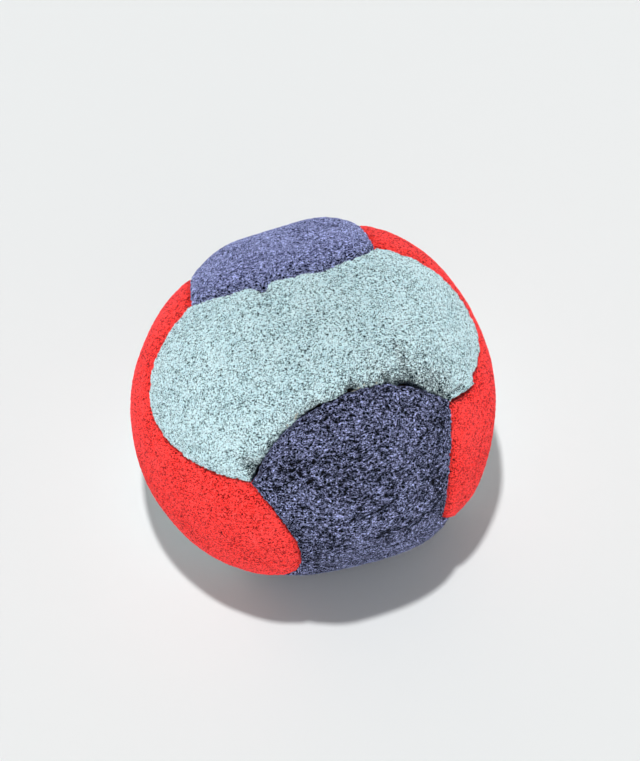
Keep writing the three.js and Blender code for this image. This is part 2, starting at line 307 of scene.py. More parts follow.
# The three suedes. The nap lies along "lay", in degrees, and is drawn out by "stretch".
# "bounce" is the colour that a panel throws on what lies around it.
# Painted light in each suede: "gap" is painted shade between the fibres, near black, and "tip" is a pale
# fibre tip that is partly a painted glint.
suedeLooks = {
    "blue": {
        "suede": (0.46, 0.69, 0.75),
        "gap": (0.0005, 0.008, 0.012),
        "tip": (0.86, 1, 1),
        "bounce": (0.5, 0.6, 0.62),
        "gapShare": 0.31,
        "tips": 0.6,
        "napScale": 4300,
        "bump": 0.03 * mm,
        "lay": 35,
        "stretch": 0.75,
        "sheen": 0.12,
        "sheenTint": (0.8, 0.86, 1),
    },
    "navy": {
        "suede": (0.055, 0.065, 0.16),
        "gap": (0.0001, 0.0001, 0.001),
        "tip": (0.52, 0.58, 1),
        "bounce": (0.08, 0.09, 0.15),
        "gapShare": 0.42,
        "tips": 0.95,
        "napScale": 3900,
        "bump": 0.04 * mm,
        "lay": -12,
        "stretch": 0.65,
        "sheen": 0.06,
        "sheenTint": (0.4, 0.5, 1),
    },
    "red": {
        "suede": (1, 0.03, 0.022),
        "gap": (0.02, 0, 0),
        "tip": (1, 0.13, 0.13),
        "bounce": (0.55, 0.3, 0.3),
        "gapShare": 0.26,
        "tips": 0.5,
        "napScale": 4200,
        "bump": 0.025 * mm,
        "lay": 60,
        "stretch": 0.75,
        "sheen": 0.4,
        "sheenTint": (1, 0.15, 0.2),
    },
}

suedePanel = {
    "longCells": 380,
    "crossCells": 240,
    "innerLongCells": 48,
    "innerCrossCells": 30,
    "crowding": 0.3,
    "seamGap": 0.05 * mm,
    "wall": 0.9 * mm,
    "foldRadius": 0.75 * mm,
    "shoulderDepth": 0.75 * mm,
    "shoulderReach": 7.5 * mm,
    "shoulderPower": 2.4,
    "innerDepth": 0.3 * mm,
    "flangeInsets": [0.7 * mm, 1.8 * mm, 3 * mm],
    "innerInsets": [1.1 * mm, 2.2 * mm],
    "lumpDepth": 0.16 * mm,
    "lumpSize": 6 * mm,
    "lumpFade": 3 * mm,
    "lumpLeast": 0.3,
    "lumpSeed": 3,
    "napDepth": 0.08 * mm,
    "napSize": 0.18 * mm,
    "napLayers": [(1.25, 1, 31), (0.4, 2.7, 32)],  # strength, size in nap sizes, seed
    "napCurl": 0.2 * mm,
    "napCurlSize": 0.9 * mm,
    "napCurlSeeds": (21, 22, 23),
    "edgeNapGain": 1.8,
    "edgeNapReach": 0.6 * mm,
    "lowSideEase": 2.5,
    "lowSides": {  # where one side of a seam rolls down further: seam and panel, depth, reach
        ("blue_top_navy_back", "navy_panel_back"): (1.9 * mm, 3.4 * mm),
        ("blue_top_red_right", "red_panel_right"): (0.8 * mm, 2.5 * mm),
        ("navy_front_red_right", "red_panel_right"): (1 * mm, 1.6 * mm),
        ("blue_top_red_left", "red_panel_left"): (0.4 * mm, 2.5 * mm),
    },
}

# Each range is drawn from anew at each stitch: it multiplies the value above it, and the
# slant is a share of the distance from the seam.
stitches = {
    "seamLength": 36 * mm,
    "pitch": 3.1 * mm,
    "pitchRange": (0.7, 1.3),
    "puckerDepth": 0.26 * mm,
    "depthRange": (0.3, 1.2),
    "puckerReach": 2.2 * mm,
    "reachRange": (0.6, 1.7),
    "puckerHalfWidth": 0.5 * mm,
    "widthRange": (0.7, 1.5),
    "widening": 3 * mm,  # at this distance from the seam a pucker is twice as wide
    "slantRange": (-0.4, 0.4),
    "bulge": 0.1 * mm,
    "bulgePlace": 1.2 * mm,
    "bulgeHalfWidth": 0.9 * mm,
    "tucks": {  # deeper creases by seam and panel: place share, depth, reach, half width, slant
        ("blue_top_navy_front", "blue_panel_top"): [
            (0.74, 0.6 * mm, 2.2 * mm, 0.5 * mm, -0.5), (0.9, 0.3 * mm, 4 * mm, 0.8 * mm, 0.3),
            (0.56, 0.5 * mm, 1.6 * mm, 0.5 * mm, 0.3), (0.05, 0.8 * mm, 3 * mm, 0.9 * mm, 0),
            (0.38, 0.45 * mm, 1.6 * mm, 1.6 * mm, 0), (0.64, 0.3 * mm, 3 * mm, 0.5 * mm, 0.4),
        ],
        ("blue_top_navy_back", "blue_panel_top"): [
            (0.385, 0.45 * mm, 2.4 * mm, 0.9 * mm, 0.2), (0.7, 0.2 * mm, 2 * mm, 0.8 * mm, 0),
        ],
        ("blue_top_navy_back", "navy_panel_back"): [(0.385, 0.3 * mm, 3 * mm, 1.1 * mm, 0)],
        ("blue_top_red_left", "blue_panel_top"): [
            (0.3, 0.2 * mm, 2.4 * mm, 0.7 * mm, 0.2), (0.72, 0.2 * mm, 2.4 * mm, 0.8 * mm, 0),
        ],
    },
}


# Creases of the crumpled end: from and to (around and up in degrees), depth, half width.
creaseLines = {
    "blue_panel_top": [
        ((-47, 36.5), (-35.5, 29.8), 0.7 * mm, 0.42 * mm),
        ((-41.5, 60.5), (-57, 46.5), 0.45 * mm, 0.9 * mm),
        ((-58.5, 53), (-55, 48.5), 1.2 * mm, 0.6 * mm),
        ((-41.5, 45), (-48.5, 38), 0.5 * mm, 0.6 * mm),
        ((-89, 60.5), (-81, 60), 0.5 * mm, 0.35 * mm),
        ((-63.5, 54.5), (-62, 57), 0.5 * mm, 0.35 * mm),
    ],
    "red_panel_right": [((-42.5, 31.5), (-36, 27), 1 * mm, 0.9 * mm)],
}


def creased(panel, directions):
    total = np.zeros(len(directions))
    for start, end, depth, halfWidth in creaseLines.get(panel["name"], []):
        low = directionAt(*start)
        way = directionAt(*end) - low
        along = np.clip((directions - low) @ way / (way @ way), 0, 1)
        away = np.linalg.norm(directions - low - along[:, None] * way, axis=1) * bag["halfWidth"]
        total += depth * np.exp(-((away / halfWidth) ** 2))
    return total


# Distance from each point to the panel's border, and the nearest border point.
def borderDistances(points, border):
    tree = kdtree.KDTree(len(border))
    for index, point in enumerate(border):
        tree.insert(point, index)
    tree.balance()
    found = [tree.find(point) for point in points]
    return np.array([f[2] for f in found]), np.array([f[1] for f in found])


# How deep a panel's soft shoulder lies at a distance from the seam.
def shoulderAt(distance):
    s = suedePanel
    return s["shoulderDepth"] * np.clip(1 - distance / s["shoulderReach"], 0, 1) ** s["shoulderPower"]


# How deep the whole pillowed edge lies: the fold, the shoulder and the low sides.
def edgeDepth(panel, distance, names, places):
    s = suedePanel
    within = np.clip(s["foldRadius"] - distance, 0, s["foldRadius"])
    depth = s["foldRadius"] - np.sqrt(s["foldRadius"] ** 2 - within ** 2)
    depth += shoulderAt(distance)
    for (seam, side), (extra, reach) in s["lowSides"].items():
        if side == panel["name"]:
            middle = np.clip(s["lowSideEase"] * np.sin(math.pi * places), 0, 1) * (names == seam)
            depth += extra * middle * np.clip(1 - distance / reach, 0, 1) ** 2
    return depth


# Creases that each stitch draws across the edge, alike on both sides of a seam, and the tucks.
def puckers(panel, distance, names, places):
    s = stitches
    depths = np.zeros(len(distance))
    for seam in sorted(set(names)):
        draw = random.Random(seam + "stitches")
        here = names == seam
        along, near = places[here] * s["seamLength"], distance[here]
        total = -s["bulge"] * np.exp(-((near - s["bulgePlace"]) / s["bulgeHalfWidth"]) ** 2)
        place = s["pitch"] / 2
        while place < s["seamLength"]:
            depth = s["puckerDepth"] * draw.uniform(*s["depthRange"])
            reach = s["puckerReach"] * draw.uniform(*s["reachRange"])
            halfWidth = s["puckerHalfWidth"] * draw.uniform(*s["widthRange"]) * (1 + near / s["widening"])
            slanted = along - place - draw.uniform(*s["slantRange"]) * near
            total += depth * np.exp(-((slanted / halfWidth) ** 2) - near / reach)
            place += s["pitch"] * draw.uniform(*s["pitchRange"])
        for share, depth, reach, halfWidth, slant in s["tucks"].get((seam, panel["name"]), []):
            slanted = along - share * s["seamLength"] - slant * near
            total += depth * np.exp(-((slanted / halfWidth) ** 2) - (near / reach) ** 2)
        depths[here] = total
    return depths


# Partly the nap standing open, mostly painted shade: more dark gaps in the creases and beside the seams that
# were pulled hardest, where shade falls. A panel's own value darkens it all over (navy front), or lightens it
# as painted light (navy back).
openNapShades = {
    "creaseDepth": 0.7 * mm,  # a crease this deep opens the nap fully
    "panelShade": {"navy_panel_front": 1, "navy_panel_back": -0.45, "blue_panel_top": 0.05},  # everywhere
    "seams": {  # by panel: seam, strength, reach
        "blue_panel_top": [("blue_top_navy_front", 0.55, 1.8 * mm)],
        "navy_panel_back": [("blue_top_navy_back", 1.1, 1.5 * mm)],
    },
    "spots": {  # by panel: seam, strength, place share, half length, reach
        "blue_panel_top": [("blue_top_navy_front", 0.6, 0.85, 0.2, 5 * mm)],
    },
}


def openNapShadeAt(panel, distance, names, places, creases):
    r, name = openNapShades, panel["name"]
    total = np.clip(creases / r["creaseDepth"], 0, 1) + r["panelShade"].get(name, 0)
    for seam, strength, reach in r["seams"].get(name, []):
        total += strength * (names == seam) * np.exp(-(distance / reach) ** 2)
    for seam, strength, place, halfLength, reach in r["spots"].get(name, []):
        away = ((places - place) / halfLength) ** 2 + (distance / reach) ** 2
        total += strength * (names == seam) * np.exp(-away)
    return np.clip(total, -1, 1)


# Curled nap: heights between -1 and 1 that run along the way the suede lies.
def napHeights(points, look):
    s = suedePanel
    curl = [softNoise(points, s["napCurlSize"], seed) for seed in s["napCurlSeeds"]]
    bent = points + s["napCurl"] * np.stack(curl, axis=1)
    lay = math.radians(look["lay"])
    along = bent[:, 0] * math.cos(lay) + bent[:, 1] * math.sin(lay)
    aside = bent[:, 1] * math.cos(lay) - bent[:, 0] * math.sin(lay)
    laid = np.stack([along * look["stretch"], aside, bent[:, 2]], axis=1)
    layers = [strength * softNoise(laid, size * s["napSize"], seed)
              for strength, size, seed in s["napLayers"]]
    return np.clip(sum(layers), -1, 1)


def gridParts(bm, columns, rows):
    made = bmesh.ops.create_grid(bm, x_segments=columns, y_segments=rows, size=0.5)["verts"]
    places = [(round((v.co.x + 0.5) * columns), round((v.co.y + 0.5) * rows)) for v in made]
    return made, places


# Extrudes the border of the faces toward the middle of the bag, by each inset in turn.
def turnUnder(bm, faces, insets):
    edges = [e for e in {e for f in faces for e in f.edges} if e.is_boundary]
    previous = 0.0
    for inset in insets:
        grown = bmesh.ops.extrude_edge_only(bm, edges=edges)["geom"]
        edges = [g for g in grown if isinstance(g, bmesh.types.BMEdge)]
        for v in {v for e in edges for v in e.verts}:
            away = v.co - centre
            v.co = centre + away * (1 - (inset - previous) / away.length)
        previous = inset
    return edges


def makeObject(name, bm):
    mesh = bpy.data.meshes.new(name)
    bm.to_mesh(mesh)
    bm.free()
    piece = bpy.data.objects.new(name, mesh)
    bpy.context.collection.objects.link(piece)
    return piece


def makeSmoothObject(name, bm):
    bmesh.ops.recalc_face_normals(bm, faces=bm.faces)
    for face in bm.faces:
        face.smooth = True
    return makeObject(name, bm)


# The outer face as a grid of points, with the marks that the suede material reads there.
def outerFace(panel, border, longShares, crossShares):
    s = suedePanel
    loop, loopNames, loopPlaces = border
    gap = np.full(len(loop), s["seamGap"])
    for seam in sorted(set(loopNames)):
        gap += (loopNames == seam) * humps(handwork["gaps"], seam, loopPlaces)
    grid = fillLoop(insetLoop(loop, gap), longShares, crossShares)
    directions = grid.reshape(-1, 3)
    surface = bodyPoints(directions, 0, 0)
    distance, nearest = borderDistances(surface, bodyPoints(loop, 0, 0))
    names, places = loopNames[nearest], loopPlaces[nearest]
    creases = puckers(panel, distance, names, places) + creased(panel, directions)
    depth = edgeDepth(panel, distance, names, places) + creases
    lumps = s["lumpDepth"] * softNoise(surface, s["lumpSize"], s["lumpSeed"])
    depth += lumps * np.clip(distance / s["lumpFade"], s["lumpLeast"], 1)
    points = bodyPoints(directions, depth, 0)
    naps = napHeights(points, suedeLooks[panel["name"].split("_")[0]])
    points = points.reshape(grid.shape)
    facing = unit(np.cross(np.gradient(points, axis=1), np.gradient(points, axis=0)))
    facing *= np.sign(((points - np.array(centre)) * facing).sum(axis=-1, keepdims=True))
    edgeGain = 1 + s["edgeNapGain"] * np.exp(-((distance / s["edgeNapReach"]) ** 2))
    lift = s["napDepth"] * naps * edgeGain
    points = points + lift.reshape(grid.shape[:2])[..., None] * facing
    points[..., 2] = np.maximum(points[..., 2], 0)  # nothing sinks into the floor
    marks = {
        "seamDistance": distance.reshape(grid.shape[:2]),
        # painted shade in the creases, by the seams and over whole panels
        "openNapShade": openNapShadeAt(panel, distance, names, places, creases).reshape(grid.shape[:2]),
        "nap": naps.reshape(grid.shape[:2]),
    }
    return points, marks


# The inner face follows the pillow at the wall's thickness, without creases or nap.
def innerFace(panel, border):
    s = suedePanel
    longShares = easedShares(s["innerLongCells"], s["crowding"])
    crossShares = easedShares(s["innerCrossCells"], s["crowding"])
    loop = panelLoop(panel, longShares, crossShares)[0]
    grid = fillLoop(insetLoop(loop, s["seamGap"] + s["wall"]), longShares, crossShares)
    directions = grid.reshape(-1, 3)
    distance = borderDistances(bodyPoints(directions, 0, 0), bodyPoints(border[0], 0, 0))[0]
    depth = shoulderAt(distance) + s["innerDepth"]
    return bodyPoints(directions, depth, s["wall"]).reshape(grid.shape)


# Adds a face from its grid of points, turns its border under and returns the last edges.
def addFace(bm, points, marks, insets):
    before = set(bm.faces)
    layers = [(bm.verts.layers.float.new(name), values) for name, values in marks.items()]
    verts, cells = gridParts(bm, points.shape[1] - 1, points.shape[0] - 1)
    for vert, (column, row) in zip(verts, cells):
        vert.co = points[row, column]
        for layer, values in layers:
            vert[layer] = values[row, column]
    return turnUnder(bm, [f for f in bm.faces if f not in before], insets)


def makePanel(panel):
    s = suedePanel
    longShares = easedShares(s["longCells"], s["crowding"])
    crossShares = easedShares(s["crossCells"], s["crowding"])
    border = panelLoop(panel, longShares, crossShares)
    points, marks = outerFace(panel, border, longShares, crossShares)
    bm = bmesh.new()
    outerTip = addFace(bm, points, marks, s["flangeInsets"])
    innerTip = addFace(bm, innerFace(panel, border), {}, s["innerInsets"])
    bmesh.ops.bridge_loops(bm, edges=outerTip + innerTip)  # the two meet at the raw edge
    return makeSmoothObject(panel["name"] + "_suede", bm)


# Sewing thread: two twisted plies on the CAD thread's path, in the seam allowances. The seam
# that was closed by hand ends in a knot, and a few of its stitches show.
thread = {
    "plyRadius": 0.11 * mm,
    "plyOffset": 0.1 * mm,
    "twistPitch": 1 * mm,
    "stepLength": 0.16 * mm,
    "leastSteps": 6,
    "roundings": 3,
    "cornerCut": 0.25,
    "sides": 7,
    "probeShare": 0.01,  # how far to each side the seam's way is felt
    "valleyDepth": 1.5 * mm,
    "stitchDepth": 1.8 * mm,
    "stitchReach": 1.65 * mm,
    "stitchTurn": 0.55 * mm,
    "stitchCount": 6,
    "seamEndShare": 0.1,
    "turnShare": 0.018,
    "closingSeam": "blue_top_navy_front",
    "knotRadius": 0.62 * mm,
    "knotReach": 1.95 * mm,
    "windDepth": 0.09 * mm,
    "windTurns": 5,
    "windSlant": 9000,
    "shownShares": (0.205, 0.245, 0.575, 0.65),
    "shownPace": 0.012,
    "shownSteps": [  # reach and depth of a stitch that shows, from under the seam to over the edge
        (-0.4 * mm, 1.2 * mm), (-0.1 * mm, 0.4 * mm), (0.15 * mm, -0.25 * mm), (0.4 * mm, -0.62 * mm),
        (0.65 * mm, -0.72 * mm), (0.85 * mm, -0.6 * mm), (1 * mm, 0.2 * mm),
    ],
}


# A place beside a seam: reach goes across it toward the panel named first, depth goes in.
def seamPlace(low, high, share, reach, depth):
    t = thread
    row = seamRow(low, high, np.array([share - t["probeShare"], share, share + t["probeShare"]]))
    rowPoints = bodyPoints(row, t["valleyDepth"], depth) - np.array(centre)
    across = unit(np.cross(rowPoints[1], rowPoints[2] - rowPoints[0]))
    return Vector(rowPoints[1] + across * reach) + centre


def threadPlaces(low, high, name):
    t = thread
    ends = t["seamEndShare"]
    turn = t["stitchReach"] - t["stitchTurn"]
    places = []
    for hole in range(t["stitchCount"]):
        share = ends + (1 - 2 * ends) * hole / (t["stitchCount"] - 1)
        nextShare = share + (1 - 2 * ends) / (t["stitchCount"] - 1)
        side = 1 if hole % 2 == 0 else -1
        places += [(share - t["turnShare"], -side * t["stitchReach"]), (share, -side * turn)]
        places += [(share, side * turn), (share + t["turnShare"], side * t["stitchReach"])]
        if hole < t["stitchCount"] - 1:
            places.append(((share + nextShare) / 2, side * t["stitchReach"]))
    points = [seamPlace(low, high, share, reach, t["stitchDepth"]) for share, reach in places]
    if name == t["closingSeam"]:
        points.append(seamPlace(low, high, 1 - ends / 2, -t["knotReach"], t["stitchDepth"]))
    return points


# A short run of thread that comes out of the seam and goes in again past the pale edge.
def shownStitch(low, high, share):
    t = thread
    return [seamPlace(low, high, share + t["shownPace"] * count, reach, depth)
            for count, (reach, depth) in enumerate(t["shownSteps"])]


# Rounds the turns of a path and divides it into even steps.
def evenPath(points):
    t = thread
    path = np.array(points)
    for _ in range(t["roundings"]):
        cut = np.empty((2 * len(path) - 2, 3))
        cut[0::2] = (1 - t["cornerCut"]) * path[:-1] + t["cornerCut"] * path[1:]
        cut[1::2] = t["cornerCut"] * path[:-1] + (1 - t["cornerCut"]) * path[1:]
        path = np.concatenate([path[:1], cut, path[-1:]])
    along = np.concatenate([[0], np.cumsum(np.linalg.norm(np.diff(path, axis=0), axis=1))])
    wanted = np.linspace(0, along[-1], max(int(along[-1] / t["stepLength"]), t["leastSteps"]))
    return np.stack([np.interp(wanted, along, path[:, axis]) for axis in range(3)], axis=1), wanted


# Sweeps a ring of the ply's size along a path by extruding its edge, and closes both ends.
def sweepPly(bm, path, radius):
    ring = bmesh.ops.create_circle(bm, cap_ends=True, segments=thread["sides"], radius=radius)["verts"]
    shape = [v.co.copy() for v in ring]
    edges = list({e for v in ring for e in v.link_edges})
    outward = None
    for index, point in enumerate(path):
        ahead = Vector(path[min(index + 1, len(path) - 1)] - path[max(index - 1, 0)]).normalized()
        outward = ahead.orthogonal() if outward is None else outward
        outward = (outward - ahead * outward.dot(ahead)).normalized()
        sideways = ahead.cross(outward)
        if index > 0:
            grown = bmesh.ops.extrude_edge_only(bm, edges=edges)["geom"]
            edges = [g for g in grown if isinstance(g, bmesh.types.BMEdge) and g.is_boundary]
            made = [g for g in grown if isinstance(g, bmesh.types.BMVert)]
            ring = orderedLike(ring, made)
        for v, offset in zip(ring, shape):
            v.co = Vector(point) + outward * offset.x + sideways * offset.y
    bmesh.ops.edgeloop_fill(bm, edges=edges)


def orderedLike(ring, made):
    grown = set(made)
    return [next(e.other_vert(v) for e in v.link_edges if e.other_vert(v) in grown) for v in ring]


# The closing knot: a small ball, ridged as if the thread were wound around it.
def addKnot(bm, place):
    t = thread
    for v in bmesh.ops.create_icosphere(bm, subdivisions=3, radius=t["knotRadius"])["verts"]:
        around = t["windTurns"] * math.atan2(v.co.y, v.co.x)
        wound = t["windDepth"] * math.sin(around + v.co.z * t["windSlant"])
        v.co = v.co * (1 + wound / t["knotRadius"]) + place


def makeThread(low, high):
    t = thread
    name = seamName(low, high)
    runs = [threadPlaces(low, high, name)]
    if name == t["closingSeam"]:
        runs += [shownStitch(low, high, share) for share in t["shownShares"]]
    bm = bmesh.new()
    for run in runs:
        path, along = evenPath(run)
        ahead = unit(np.gradient(path, axis=0))
        across = unit(np.cross(ahead, unit(path - np.array(centre))))
        lift = np.cross(across, ahead)
        for ply in (0, 1):
            turn = 2 * math.pi * along / t["twistPitch"] + math.pi * ply
            offset = np.cos(turn)[:, None] * across + np.sin(turn)[:, None] * lift
            sweepPly(bm, path + t["plyOffset"] * offset, t["plyRadius"])
    if name == t["closingSeam"]:
        addKnot(bm, runs[0][-1])
    return makeSmoothObject("thread_" + name + "_twisted", bm)


def addNode(tree, kind, **values):
    node = tree.nodes.new(kind)
    for key, value in values.items():
        setattr(node, key, value)
    return node


def setInputs(node, values):
    for key, value in values.items():
        node.inputs[key].default_value = value
    return node


# A number or a colour is set on the socket, and an output is linked to it.
def feed(tree, socket, given):
    if isinstance(given, (int, float, tuple)):
        socket.default_value = given
    else:
        tree.links.new(given, socket)


def calculate(tree, operation, *given):
    node = addNode(tree, "ShaderNodeMath", operation=operation)
    for socket, value in zip(node.inputs, given):
        feed(tree, socket, value)
    return node.outputs[0]


def easeBetween(tree, value, low, high):
    node = addNode(tree, "ShaderNodeMapRange", interpolation_type="SMOOTHSTEP")
    for key, given in (("Value", value), ("From Min", low), ("From Max", high)):
        feed(tree, node.inputs[key], given)
    return node.outputs["Result"]


def mixColours(tree, mask, first, second):
    node = addNode(tree, "ShaderNodeMix", data_type="RGBA")
    for key, given in (("Factor", mask), ("A", first), ("B", second)):
        feed(tree, node.inputs[key], given)
    return node.outputs["Result"]


def noiseAt(tree, vector, scale, detail, shift=(0, 0, 0), distortion=0.0, roughness=0.55):
    place = setInputs(addNode(tree, "ShaderNodeVectorMath", operation="ADD"), {1: shift})
    tree.links.new(vector, place.inputs[0])
    texture = addNode(tree, "ShaderNodeTexNoise")
    setInputs(texture, {"Detail": detail, "Roughness": roughness, "Distortion": distortion})
    tree.links.new(place.outputs[0], texture.inputs["Vector"])
    feed(tree, texture.inputs["Scale"], scale)
    return texture.outputs["Fac"]


def startMaterial(name):
    material = bpy.data.materials.new(name)
    material.use_nodes = True
    return material, material.node_tree, material.node_tree.nodes["Principled BSDF"]


def addBump(tree, shader, height, depth):
    bump = setInputs(addNode(tree, "ShaderNodeBump"), {"Strength": 1.0, "Distance": depth})
    tree.links.new(height, bump.inputs["Height"])
    tree.links.new(bump.outputs["Normal"], shader.inputs["Normal"])


# How the nap is drawn, alike for the three suedes. Scales are shares of a suede's nap scale.
napPattern = {
    "noiseMiddle": 0.5,
    "lineSharpness": 6,
    "lineDistortion": 0.8,
    "clumpScale": 0.5,
    "clumpShift": (0.013, 0.021, 0.008),
    "clumpStrength": 0.6,
    "heightStrength": 0.12,  # of the modelled nap
    "patchScale": 0.06,
    "patchShift": (0.004, 0.003, 0.009),
    "patchRange": (0.3, 0.72),
    "patchClosing": 0.1,  # nap that lies over has fewer gaps, and shows more of its tips
    "patchTint": 0.15,
    # Partly smoother rolled nap, partly painted highlight: fewer gaps near the panel edges.
    "edgeReach": 0.5 * mm,
    "litEdgeClosing": 0.1,
    # how far the painted crease and seam shade opens the dark gaps
    "openNapShadeGain": 0.5,
    "gapSoftness": 0.04,
    "tipRange": (0.68, 0.9),
    "roughness": 0.97,
    "tipSmoothing": 0.1,
}
napInputs = {
    "Vector": "Vector",
    "Seam Distance": "Float",
    "Open Nap Shade": "Float",
    "Nap": "Float",
    "Suede": "Color",
    "Gap": "Color",
    "Tip": "Color",
    "Gap Share": "Float",
    "Tip Amount": "Float",
    "Nap Scale": "Float",
}
napOutputs = {"Color": "Color", "Roughness": "Float", "Height": "Float"}


# Short napped suede: the dark gaps between curled fibres are painted shade, the pale tips are partly painted
# glints, and patches lie over.
def makeSuedeGroup():
    p = napPattern
    group = bpy.data.node_groups.new("suedeNap", "ShaderNodeTree")
    for way, sockets in (("INPUT", napInputs), ("OUTPUT", napOutputs)):
        for name, kind in sockets.items():
            group.interface.new_socket(name=name, in_out=way, socket_type="NodeSocket" + kind)
    given = addNode(group, "NodeGroupInput").outputs
    out = addNode(group, "NodeGroupOutput").inputs

    def plus(first, second):
        return calculate(group, "ADD", first, second)

    def minus(first, second):
        return calculate(group, "SUBTRACT", first, second)

    def times(first, second):
        return calculate(group, "MULTIPLY", first, second)

    place, scale = given["Vector"], given["Nap Scale"]
    waves = noiseAt(group, place, scale, detail=1, distortion=p["lineDistortion"])
    away = times(calculate(group, "ABSOLUTE", minus(waves, p["noiseMiddle"])), p["lineSharpness"])
    fibres = minus(1, calculate(group, "MINIMUM", away, 1))
    clumps = noiseAt(group, place, times(scale, p["clumpScale"]), detail=2, shift=p["clumpShift"])
    loosened = times(minus(clumps, p["noiseMiddle"]), p["clumpStrength"])
    nap = plus(fibres, plus(loosened, times(given["Nap"], p["heightStrength"])))
    patches = noiseAt(group, place, times(scale, p["patchScale"]), detail=2, shift=p["patchShift"])
    lain = easeBetween(group, patches, *p["patchRange"])
    inside = easeBetween(group, given["Seam Distance"], 0.0, p["edgeReach"])
    # Painted shade: the crease and seam mark raises the share of near-black gaps.
    level = plus(given["Gap Share"], times(given["Open Nap Shade"], p["openNapShadeGain"]))
    level = minus(level, times(lain, p["patchClosing"]))
    # Partly smoother rolled nap, partly painted highlight: fewer gaps along the panel edges make a paler rim.
    level = minus(level, times(minus(1, inside), p["litEdgeClosing"]))
    # Painted shade: nap below the level takes the near-black gap colour.
    filled = easeBetween(group, nap, minus(level, p["gapSoftness"]), plus(level, p["gapSoftness"]))
    # Partly painted glints: the highest nap takes the pale tip colour.
    tips = times(easeBetween(group, nap, *p["tipRange"]), given["Tip Amount"])
    base = mixColours(group, times(lain, p["patchTint"]), given["Suede"], given["Tip"])
    tipped = mixColours(group, tips, base, given["Tip"])
    group.links.new(mixColours(group, minus(1, filled), tipped, given["Gap"]), out["Color"])
    group.links.new(minus(p["roughness"], times(tips, p["tipSmoothing"])), out["Roughness"])
    group.links.new(nap, out["Height"])
    return group


suedeFinish = {"Sheen Roughness": 0.4, "Specular IOR Level": 0.1}
suedeMarks = {"Seam Distance": "seamDistance", "Open Nap Shade": "openNapShade", "Nap": "nap"}


def makeSuede(name, group):
    look = suedeLooks[name]
    material, tree, shader = startMaterial(name + "Suede")
    coordinates = addNode(tree, "ShaderNodeTexCoord")
    lay = addNode(tree, "ShaderNodeMapping")
    setInputs(lay, {"Rotation": (0, 0, math.radians(look["lay"])), "Scale": (look["stretch"], 1, 1)})
    tree.links.new(coordinates.outputs["Object"], lay.inputs["Vector"])
    nap = addNode(tree, "ShaderNodeGroup", node_tree=group)
    # Gap is painted shade between the fibres; Tip is partly a painted glint.
    setInputs(nap, {key: (*look[key.lower()], 1) for key in ("Suede", "Gap", "Tip")})
    setInputs(nap, {"Gap Share": look["gapShare"], "Tip Amount": look["tips"], "Nap Scale": look["napScale"]})
    tree.links.new(lay.outputs["Vector"], nap.inputs["Vector"])
    for key, attribute in suedeMarks.items():
        mark = addNode(tree, "ShaderNodeAttribute", attribute_name=attribute)
        tree.links.new(mark.outputs["Fac"], nap.inputs[key])
    addBump(tree, shader, nap.outputs["Height"], look["bump"])
    bounced = addNode(tree, "ShaderNodeLightPath").outputs["Is Diffuse Ray"]
    coloured = mixColours(tree, bounced, nap.outputs["Color"], (*look["bounce"], 1))
    tree.links.new(coloured, shader.inputs["Base Color"])
    tree.links.new(nap.outputs["Roughness"], shader.inputs["Roughness"])
    setInputs(shader, {**suedeFinish, "Sheen Weight": look["sheen"], "Sheen Tint": (*look["sheenTint"], 1)})
    return material


threadLook = {
    "fibre": (0.36, 0.36, 0.3, 1),
    "worn": (0.68, 0.68, 0.58, 1),
    "fibreScale": 9000,
    "fibreDistortion": 0.5,
    "wearScale": 900,
    "wearShift": (0.02, 0.01, 0),
    "wearRange": (0.35, 0.65),
    "bump": 0.05 * mm,
    "finish": {"Roughness": 0.8, "Sheen Weight": 0.3, "Specular IOR Level": 0.25},
}


def makeThreadMaterial():
    look = threadLook
    material, tree, shader = startMaterial("spunThread")
    place = addNode(tree, "ShaderNodeTexCoord").outputs["Object"]
    fibres = noiseAt(tree, place, look["fibreScale"], detail=3, distortion=look["fibreDistortion"])
    wear = noiseAt(tree, place, look["wearScale"], detail=1, shift=look["wearShift"])
    wear = easeBetween(tree, wear, *look["wearRange"])
    coloured = mixColours(tree, calculate(tree, "MULTIPLY", wear, fibres), look["fibre"], look["worn"])
    tree.links.new(coloured, shader.inputs["Base Color"])
    addBump(tree, shader, fibres, look["bump"])
    setInputs(shader, look["finish"])
    return material


sandLook = {
    "grain": (0.62, 0.48, 0.27, 1),
    "dark": (0.2, 0.13, 0.07, 1),
    "pale": (0.85, 0.76, 0.58, 1),
    "grainScale": 2600,
    "paleFrom": 0.6,
    "darkFrom": 0.8,
    "bump": 0.3 * mm,
    "finish": {"Roughness": 0.85, "Specular IOR Level": 0.3},
}


def makeSandMaterial():
    look = sandLook
    material, tree, shader = startMaterial("drySand")
    place = addNode(tree, "ShaderNodeTexCoord").outputs["Object"]
    grains = setInputs(addNode(tree, "ShaderNodeTexVoronoi"), {"Scale": look["grainScale"]})
    tree.links.new(place, grains.inputs["Vector"])
    tone = addNode(tree, "ShaderNodeSeparateColor")
    tree.links.new(grains.outputs["Color"], tone.inputs["Color"])
    pale = easeBetween(tree, tone.outputs[0], look["paleFrom"], 1)
    dark = easeBetween(tree, tone.outputs[1], look["darkFrom"], 1)
    coloured = mixColours(tree, pale, look["grain"], look["pale"])
    coloured = mixColours(tree, dark, coloured, look["dark"])
    tree.links.new(coloured, shader.inputs["Base Color"])
    addBump(tree, shader, calculate(tree, "SUBTRACT", 1, grains.outputs["Distance"]), look["bump"])
    setInputs(shader, look["finish"])
    return material


suedeGroup = makeSuedeGroup()
suedes = {name: makeSuede(name, suedeGroup) for name in suedeLooks}
for panel in panels:
    colour = panel["name"].split("_")[0]
    piece = makePanel(panel)
    piece.data.materials.append(suedes[colour])
    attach(piece, "root")
    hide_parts(panel["name"])
    print("panel", piece.name, len(piece.data.polygons), "faces")

